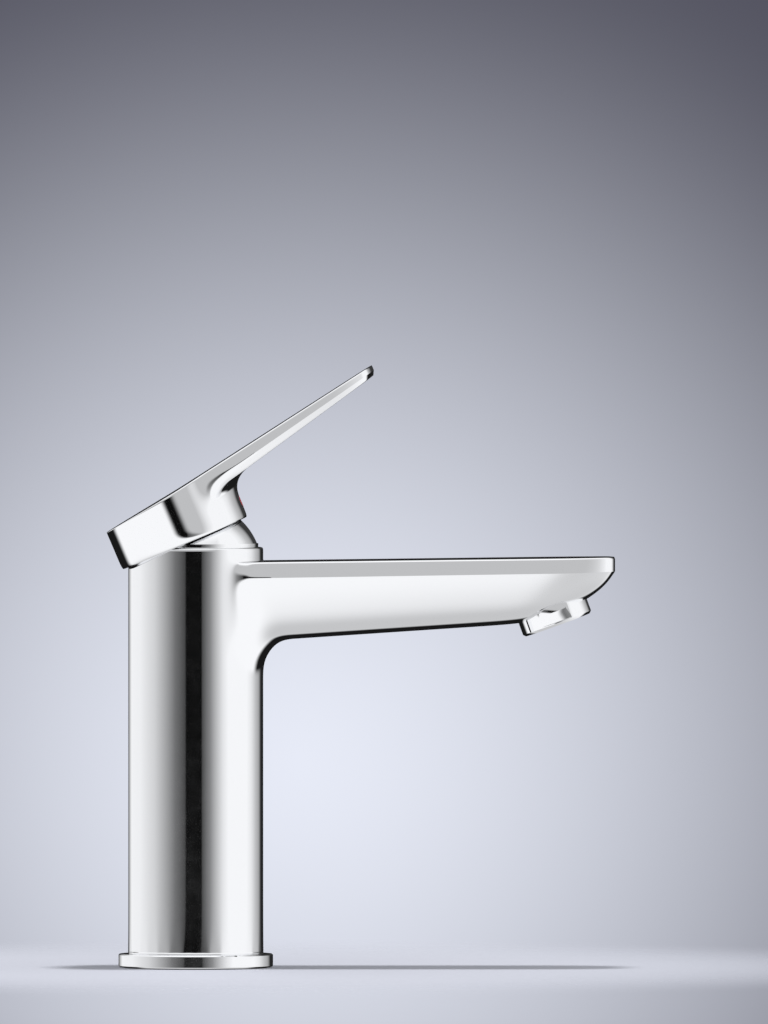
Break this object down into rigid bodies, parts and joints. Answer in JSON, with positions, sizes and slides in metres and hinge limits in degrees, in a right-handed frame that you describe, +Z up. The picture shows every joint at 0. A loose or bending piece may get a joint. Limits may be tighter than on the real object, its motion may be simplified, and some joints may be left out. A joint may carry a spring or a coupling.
{
  "type": "single-lever basin mixer faucet",
  "caption": "Chrome basin mixer with a round column, a straight flat-topped spout, a tilted aerator and a top lever that lifts and turns.",
  "frame": {"origin": "centre of the column on the counter, at the underside of the base gasket", "axes": "+Z up along the column, +X the way the spout points, the lever's hinge line along Y"},
  "size_m": [0.1657, 0.0504, 0.1965],
  "materials": {
    "chrome_body": "polished chrome plate",
    "chrome_lever": "polished chrome plate",
    "chrome_trim": "polished chrome plate",
    "rubber_seal": "soft black rubber",
    "cartridge_plastic": "moulded off-white plastic",
    "carrier_plastic": "moulded dark plastic",
    "ceramic": "lapped alumina ceramic",
    "brass": "turned brass",
    "steel": "turned stainless steel",
    "stop_plastic": "moulded red plastic",
    "aerator_plastic": "moulded pale plastic",
    "strainer": "woven stainless mesh",
    "index_red": "red enamel",
    "index_blue": "blue enamel"
  },
  "bodies": {
    "mixer_body": {"base_ring": "chrome_trim", "base_gasket": "rubber_seal", "body_casting": "chrome_body", "cartridge_base": "cartridge_plastic", "port_seals": "rubber_seal", "cartridge_housing": "cartridge_plastic", "fixed_disc": "ceramic", "retaining_nut": "brass", "stop_ring": "stop_plastic", "dome_cover": "chrome_trim", "dome_o_ring": "rubber_seal", "aerator_housing": "chrome_trim", "aerator_insert": "aerator_plastic", "aerator_screen": "strainer", "aerator_washer": "rubber_seal"},
    "cartridge_rotor": {"stem_guide": "carrier_plastic", "guide_o_ring": "rubber_seal", "pivot_pin": "steel"},
    "lever": {"lever_handle": "chrome_lever", "stem": "steel", "set_screw": "steel", "index_plug": "cartridge_plastic", "hot_mark": "index_red", "cold_mark": "index_blue"},
    "disc_slider": {"moving_disc": "ceramic", "disc_carrier": "carrier_plastic"}
  },
  "joints": [
    {"name": "temperature_swivel", "type": "hinge", "parent": "mixer_body", "child": "cartridge_rotor", "pos_m": [0, 0, 0.1302], "axis": [0, 0, 1], "range_deg": [-45, 45]},
    {"name": "lever_lift", "type": "hinge", "parent": "cartridge_rotor", "child": "lever", "pos_m": [0, 0, 0.1302], "axis": [0, -1, 0], "range_deg": [-23, 0]},
    {"name": "disc_slide", "type": "slide", "parent": "cartridge_rotor", "child": "disc_slider", "axis": [1, 0, 0], "range_m": [-0.0034, 0.0002]}
  ],
  "couplings": [
    {"joint": "disc_slide", "follows": "lever_lift", "m_per_rad": 0.007946}
  ]
}
